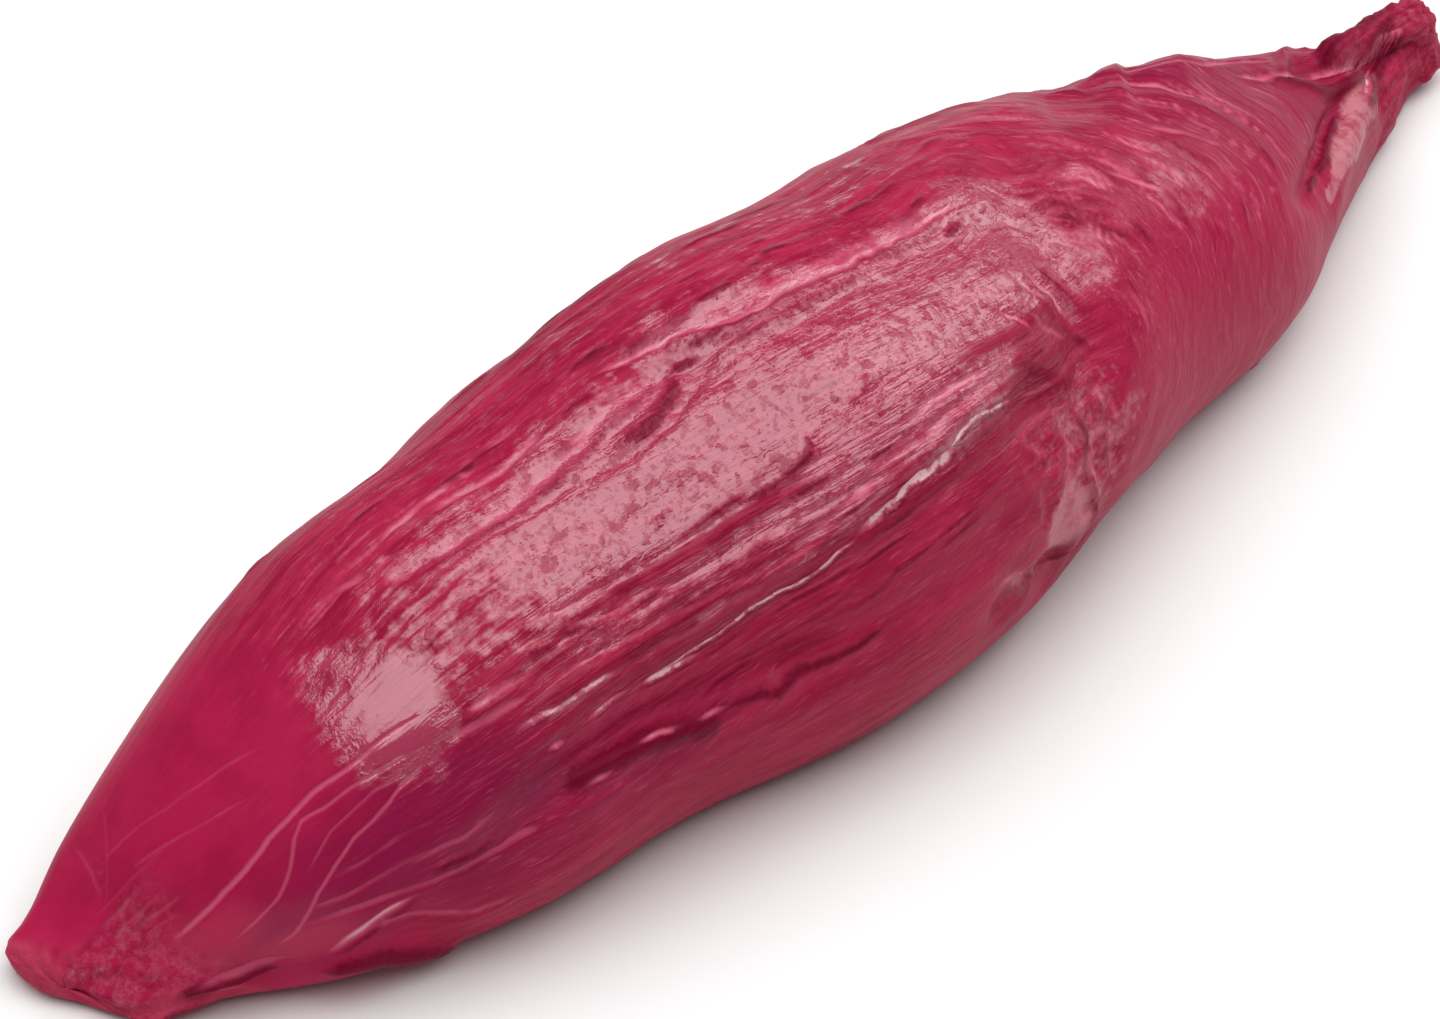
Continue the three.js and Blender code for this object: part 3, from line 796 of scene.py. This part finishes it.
class Nodes:
    """Shorthand for laying out the nodes of a material."""

    def __init__(self, tree):
        self.tree = tree

    def give(self, socket, value):
        if isinstance(value, bpy.types.NodeSocket):
            self.tree.links.new(value, socket)
        elif isinstance(value, tuple) and len(value) == 3 and socket.type == "RGBA":
            socket.default_value = (*value, 1)
        else:
            socket.default_value = value

    def maths(self, operation, a, b=0.0):
        node = self.tree.nodes.new("ShaderNodeMath")
        node.operation = operation
        self.give(node.inputs[0], a)
        self.give(node.inputs[1], b)
        return node.outputs[0]

    def times(self, *values):
        product = values[0]
        for value in values[1:]:
            product = self.maths("MULTIPLY", product, value)
        return product

    def plus(self, *values):
        total = values[0]
        for value in values[1:]:
            total = self.maths("ADD", total, value)
        return total

    def ramp(self, value, low, high, start=0.0, end=1.0):
        node = self.tree.nodes.new("ShaderNodeMapRange")
        node.interpolation_type = "SMOOTHSTEP"
        for name, given in (("Value", value), ("From Min", low), ("From Max", high),
                            ("To Min", start), ("To Max", end)):
            self.give(node.inputs[name], given)
        return node.outputs["Result"]

    def blend(self, share, first, second):
        node = self.tree.nodes.new("ShaderNodeMix")
        node.data_type = "RGBA"
        self.give(node.inputs[0], share)
        self.give(node.inputs[6], first)
        self.give(node.inputs[7], second)
        return node.outputs[2]

    def layered(self, colour, layers):
        """Lays tints over a colour, each with its own share."""
        for share, tint in layers:
            colour = self.blend(share, colour, tint)
        return colour

    def between(self, share, first, second):
        node = self.tree.nodes.new("ShaderNodeMix")
        for socket, value in zip(node.inputs[:1] + node.inputs[2:4], (share, first, second)):
            self.give(socket, value)
        return node.outputs[0]

    def painted(self, name, output="Fac"):
        node = self.tree.nodes.new("ShaderNodeAttribute")
        node.attribute_name = name
        return node.outputs[output]

    def noise(self, vector, scale, detail=3.0, rough=0.55):
        node = self.tree.nodes.new("ShaderNodeTexNoise")
        self.give(node.inputs["Vector"], vector)
        node.inputs["Scale"].default_value = scale
        node.inputs["Detail"].default_value = detail
        node.inputs["Roughness"].default_value = rough
        return node.outputs["Fac"]

    def drawn_out(self, vector, length, width, detail):
        """Noise drawn out along X of a grain: streaks of a length and width in millimetres."""
        split = self.tree.nodes.new("ShaderNodeSeparateXYZ")
        self.give(split.inputs[0], vector)
        join = self.tree.nodes.new("ShaderNodeCombineXYZ")
        self.give(join.inputs[0], self.times(split.outputs[0], width / length))
        self.give(join.inputs[1], split.outputs[1])
        self.give(join.inputs[2], split.outputs[2])
        return self.noise(join.outputs[0], 1 / width, detail)


LEAN_DEEP = (0.275, 0.0030, 0.034)
LEAN_BRIGHT = (0.400, 0.0150, 0.062)
NOSE_LEAN = (0.400, 0.0095, 0.062)
FILM_PINK = (0.430, 0.0300, 0.095)
DUSKY_PINK = (0.365, 0.0170, 0.062)
PURPLE = (0.215, 0.0050, 0.048)
# a greyish painted sheen
GREY_SHEEN = (0.250, 0.0300, 0.078)
# the colour of pale tissue, and of the painted glints
WHITE_TISSUE_AND_GLINT = (0.840, 0.510, 0.560)
SEAM_ROSE = (0.540, 0.080, 0.155)
FAT_PINK = (0.500, 0.170, 0.205)
# painted shade for creases, recesses, slits and the undercut
CREASE_SHADE = (0.145, 0.0005, 0.018)
TORN_PINK = (0.430, 0.050, 0.100)
LIP_CORAL = (0.440, 0.038, 0.084)
MASKS = ("film", "nose", "hairs", "torn", "dusky", "purple", "grey_sheen", "red", "fat", "pale",
         "crease_shade", "wrinkles", "wet", "tip", "side", "valley_shade", "lip", "still")


def wet_beef():
    """Raw beef under a thin wet film."""
    material = bpy.data.materials.new("wet_beef")
    material.use_nodes = True
    tree = material.node_tree
    nodes = Nodes(tree)
    shader = tree.nodes["Principled BSDF"]
    place = nodes.painted("place", "Vector")
    lengthwise, crosswise = nodes.painted("fibre", "Vector"), nodes.painted("hair", "Vector")
    mask = {name: nodes.painted(name) for name in MASKS}

    def fibres(length, width, detail):
        """Streaks along the muscle, or round the knot where those show."""
        return nodes.between(mask["hairs"], nodes.drawn_out(lengthwise, length, width, detail),
                             nodes.drawn_out(crosswise, 0.45 * length, 1.15 * width, detail))

    thin, wide, grain = fibres(12.0, 0.85, 2.0), fibres(18.0, 3.2, 3.0), fibres(3.4, 0.38, 2.0)
    blotch = nodes.noise(place, 0.11, 4.0)
    ragged = nodes.noise(place, 0.9, 3.0)
    curled = nodes.noise(place, 0.30, 4.0, 0.62)
    spots = nodes.ramp(nodes.noise(place, 0.40, 3.0, 0.60), 0.50, 0.66)
    specks = nodes.ramp(nodes.noise(place, 0.90, 2.0), 0.49, 0.65)
    calm = nodes.times(nodes.ramp(mask["nose"], 0, 1, 1.0, 0.2),
                       nodes.ramp(mask["tip"], 0, 1, 1.0, 0.0))
    # the film, frayed along its edges
    centred = nodes.plus(nodes.times(nodes.plus(thin, -0.5), 1.1),
                         nodes.times(nodes.plus(curled, -0.5), 1.8))
    centred = nodes.times(centred, nodes.ramp(mask["hairs"], 0, 1, 1.0, 0.6))
    film = nodes.ramp(nodes.plus(mask["film"], centred), 0.22,
                      nodes.ramp(mask["hairs"], 0, 1, 0.8, 1.2))
    film = nodes.maths("MAXIMUM", film, mask["still"])
    film = nodes.times(film, nodes.ramp(mask["film"], 0.02, 0.15),
                       nodes.ramp(mask["valley_shade"], 0.1, 0.9, 1.0, 0.15))

    round_knot = nodes.times(mask["hairs"], nodes.ramp(mask["side"], 0, 1, 1.0, 0.5))
    light_fibre = nodes.times(nodes.ramp(thin, 0.56, nodes.ramp(round_knot, 0, 1, 0.78, 0.70)),
                              nodes.ramp(mask["nose"], 0, 1, 0.25, 0.05),
                              nodes.ramp(round_knot, 0, 1, 1.0, 2.0))
    dark_fibre = nodes.times(nodes.ramp(thin, 0.44, 0.32), round_knot, 0.5)
    busy = nodes.times(calm, nodes.ramp(mask["side"], 0, 1, 1.0, 0.5))
    flecked = nodes.maths("MAXIMUM", spots, nodes.times(specks, 0.6))
    flecked = nodes.times(flecked, film, nodes.ramp(mask["still"], 0, 1, 1.0, 0.15))
    shreds = nodes.noise(place, 0.55, 5.0, 0.65)
    fat_edge = nodes.plus(mask["fat"], nodes.times(nodes.plus(ragged, -0.5), 0.9),
                          nodes.times(nodes.plus(curled, -0.5), 1.2))
    fat = nodes.times(nodes.ramp(fat_edge, 0.20, 0.90), nodes.ramp(curled, 0.36, 0.60, 0.5, 1.0),
                      nodes.ramp(mask["fat"], 0.03, 0.2))
    # painted shade in the creases, with a ragged strength
    crease_shade = nodes.times(mask["crease_shade"], nodes.ramp(ragged, 0.30, 0.70, 0.8, 1.2))
    pale_edge = nodes.plus(mask["pale"], nodes.times(nodes.plus(ragged, -0.5), 0.5, calm))
    tissue_and_glint = nodes.blend(nodes.ramp(mask["pale"], 0.40, 0.80), SEAM_ROSE, WHITE_TISSUE_AND_GLINT)
    colour = nodes.blend(nodes.ramp(wide, 0.36, 0.64), LEAN_DEEP, LEAN_BRIGHT)
    colour = nodes.layered(colour, (
        # lean meat and its tints, then the film
        (mask["nose"], NOSE_LEAN),
        (nodes.ramp(blotch, 0.42, 0.66, 0.0, 0.45), LEAN_DEEP),
        (nodes.times(mask["red"], 0.7), LEAN_DEEP),
        (nodes.times(mask["dusky"], 0.85), DUSKY_PINK),
        (nodes.times(mask["purple"], 0.8), PURPLE),
        # a greyish painted sheen low on the near side
        (nodes.times(mask["grey_sheen"], 0.6), GREY_SHEEN),
        (nodes.times(film, 0.6), FILM_PINK),
        # dark and light fibres, and flecks in the film
        (nodes.times(nodes.ramp(thin, 0.44, 0.26), 0.6, calm), LEAN_DEEP),
        (dark_fibre, LEAN_DEEP),
        (light_fibre, SEAM_ROSE),
        (nodes.times(nodes.ramp(grain, 0.56, 0.74), busy, 0.40), SEAM_ROSE),
        (nodes.times(nodes.ramp(grain, 0.44, 0.26), busy, 0.55), LEAN_DEEP),
        # painted shade in the valleys between the ridges
        (nodes.times(mask["valley_shade"], 0.8), LEAN_DEEP),
        (nodes.times(flecked, 0.6), LEAN_DEEP),
        # the torn ends, the lip and the fat
        (nodes.times(mask["torn"], nodes.ramp(shreds, 0.40, 0.66)), TORN_PINK),
        (nodes.times(mask["torn"], nodes.ramp(shreds, 0.62, 0.76, 0.0, 0.25)), WHITE_TISSUE_AND_GLINT),
        (nodes.times(mask["lip"], 0.75), LIP_CORAL),
        (fat, FAT_PINK),
        # painted shade in the creases, then pale folds with painted glints among them
        (nodes.ramp(crease_shade, 0.08, 0.70, 0.0, 0.9), CREASE_SHADE),
        (nodes.ramp(pale_edge, 0.08, 0.50, 0.0, 0.9), tissue_and_glint),
    ))
    beads = nodes.ramp(nodes.noise(place, 0.60, 2.0), 0.36, 0.56, 0.62, 1.0)
    seam = 0.0
    for number in range(SEAM_LAYERS):
        strength = nodes.painted(f"seam_{number}")
        beaded = nodes.between(nodes.ramp(strength, 0.4, 0.8), 1.0, beads)
        jagged = nodes.times(nodes.plus(ragged, -0.5), nodes.ramp(strength, 0.3, 0.8, 0.4, 1.1))
        offset = nodes.plus(nodes.painted(f"seam_gap_{number}"), jagged)
        # painted shade in the crease beside each seam
        beside = nodes.ramp(nodes.maths("ABSOLUTE", nodes.plus(offset, SEAM_CREASE)), 1.3, 0.1)
        beside = nodes.times(beside, nodes.ramp(strength, 0.30, 0.80, 0.0, 0.75))
        colour = nodes.blend(beside, colour, CREASE_SHADE)
        line = nodes.ramp(nodes.maths("ABSOLUTE", offset), 1.5, 0.2)
        seam = nodes.maths("MAXIMUM", seam, nodes.times(line, strength, beaded))
    # pale seams, with the thin glints among them as painted highlights
    tissue_and_glint = nodes.blend(nodes.ramp(seam, 0.40, 0.80), SEAM_ROSE, WHITE_TISSUE_AND_GLINT)
    colour = nodes.blend(nodes.ramp(seam, 0.0, 0.50, 0.0, 0.92), colour, tissue_and_glint)
    nodes.give(shader.inputs["Base Color"], colour)

    rough = nodes.plus(nodes.ramp(film, 0, 1, 0.42, 0.34), nodes.times(mask["torn"], 0.10))
    nodes.give(shader.inputs["Roughness"], rough)
    shader.inputs["Specular IOR Level"].default_value = 0.06
    shader.inputs["Subsurface Weight"].default_value = 0.15
    shader.inputs["Subsurface Radius"].default_value = (1.0, 0.25, 0.2)
    shader.inputs["Subsurface Scale"].default_value = MM

    # the wet coat
    lined = nodes.maths("MAXIMUM", mask["wrinkles"], nodes.times(mask["hairs"], 0.8))
    lined = nodes.times(nodes.maths("MAXIMUM", lined, 0.12), calm,
                        nodes.ramp(mask["side"], 0, 1, 1.0, 0.08))
    glint = nodes.times(nodes.ramp(thin, 0.66, 0.76), nodes.ramp(blotch, 0.36, 0.56), lined)
    wet = nodes.maths("MAXIMUM", mask["wet"],
                      nodes.times(film, nodes.ramp(flecked, 0, 1, 1.0, 0.38)))
    sparkle = nodes.times(nodes.ramp(grain, 0.62, 0.72), nodes.ramp(blotch, 0.40, 0.60), lined,
                          0.8)
    wet = nodes.maths("MAXIMUM", wet, nodes.maths("MAXIMUM", nodes.times(glint, 0.9), sparkle))
    wet = nodes.maths("MAXIMUM", wet, nodes.ramp(seam, 0.35, 0.75, 0.0, 0.6))
    drained = nodes.times(nodes.ramp(crease_shade, 0.05, 0.45, 1.0, 0.1),
                          nodes.ramp(mask["valley_shade"], 0.2, 0.9, 1.0, 0.4))
    nodes.give(shader.inputs["Coat Weight"], nodes.times(wet, drained))
    shader.inputs["Coat Roughness"].default_value = 0.15
    shader.inputs["Coat IOR"].default_value = 1.85

    # the finest relief
    fine = nodes.plus(0.16, nodes.times(mask["wrinkles"], 0.12), nodes.times(mask["hairs"], -0.05))
    fine = nodes.times(fine, calm, nodes.ramp(mask["still"], 0, 1, 1.0, 0.1),
                       nodes.ramp(mask["side"], 0, 1, 1.0, 0.4))
    height = nodes.plus(nodes.times(thin, fine), nodes.times(grain, fine, 0.5))
    height = nodes.plus(height, nodes.times(wide, calm, 0.4), nodes.times(glint, 0.18))
    pucker = nodes.times(ragged, calm, nodes.ramp(mask["still"], 0, 1, 0.15, 0.03))
    height = nodes.plus(height, nodes.times(pucker, nodes.ramp(mask["hairs"], 0, 1, 1.0, 0.4)))
    height = nodes.plus(height, nodes.times(flecked, -0.10), nodes.times(seam, 0.30))
    height = nodes.plus(height, nodes.times(crease_shade, -0.25))
    height = nodes.plus(height, nodes.times(mask["torn"], shreds, 1.0))
    bump = tree.nodes.new("ShaderNodeBump")
    bump.inputs["Distance"].default_value = MM
    nodes.give(bump.inputs["Height"], height)
    nodes.give(shader.inputs["Normal"], bump.outputs["Normal"])
    nodes.give(shader.inputs["Coat Normal"], bump.outputs["Normal"])
    return material


# The relief fades to SOLE_RELIEF of its height over the last millimetres to the table.
SOLE_FADE = 5.0
SOLE_RELIEF = 0.15


def make_roast():
    """The roast's skin with its relief, paint and material."""
    skin = laid_skin()
    skin.evened(1)
    set_grain(skin)
    zone = zones(skin)
    height, pale, crease_shade, seams = fold_relief(skin)
    scatter_strokes(skin, zone, height, pale, crease_shade)
    height += fine_relief(skin, zone)
    above_table = smooth(0.0, SOLE_FADE, skin.points[:, 2])
    skin.raise_by(height * (SOLE_RELIEF + (1 - SOLE_RELIEF) * above_table))
    skin.points[:, 2] = np.maximum(skin.points[:, 2], 0.0)
    skin.store()
    zone["pale"], zone["crease_shade"] = pale, crease_shade
    glossy_top = smooth(25, 60, skin.turn) * (1 - 0.9 * smooth(70, 95, skin.along))
    wet = 0.015 + 0.22 * zone["wrinkles"] + 0.10 * zone["hairs"] * glossy_top
    zone["wet"] = np.maximum(wet * (1 - 0.8 * zone["side"]), 0.6 * smooth(0.25, 0.7, pale))
    for name, values in zone.items():
        paint(skin, name, values)
    for number, layer in enumerate(seams):
        paint(skin, f"seam_{number}", layer["tissue_and_glint"])
        paint(skin, f"seam_gap_{number}", layer["offset"], -SEAM_OFFSETS, SEAM_OFFSETS)
    paint_vector(skin, "fibre", skin.fibre)
    paint_vector(skin, "hair", skin.hair[:, [1, 0, 2]])
    paint_vector(skin, "place", skin.points)
    skin.mesh.materials.clear()
    skin.mesh.materials.append(wet_beef())
    skin.mesh.polygons.foreach_set("use_smooth", [True] * len(skin.mesh.polygons))
    roast = bpy.data.objects.new("beef_roast", skin.mesh)
    bpy.context.collection.objects.link(roast)
    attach(roast, "root")
    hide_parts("roast")


place_camera()
light_the_table()
lay_table()
make_roast()
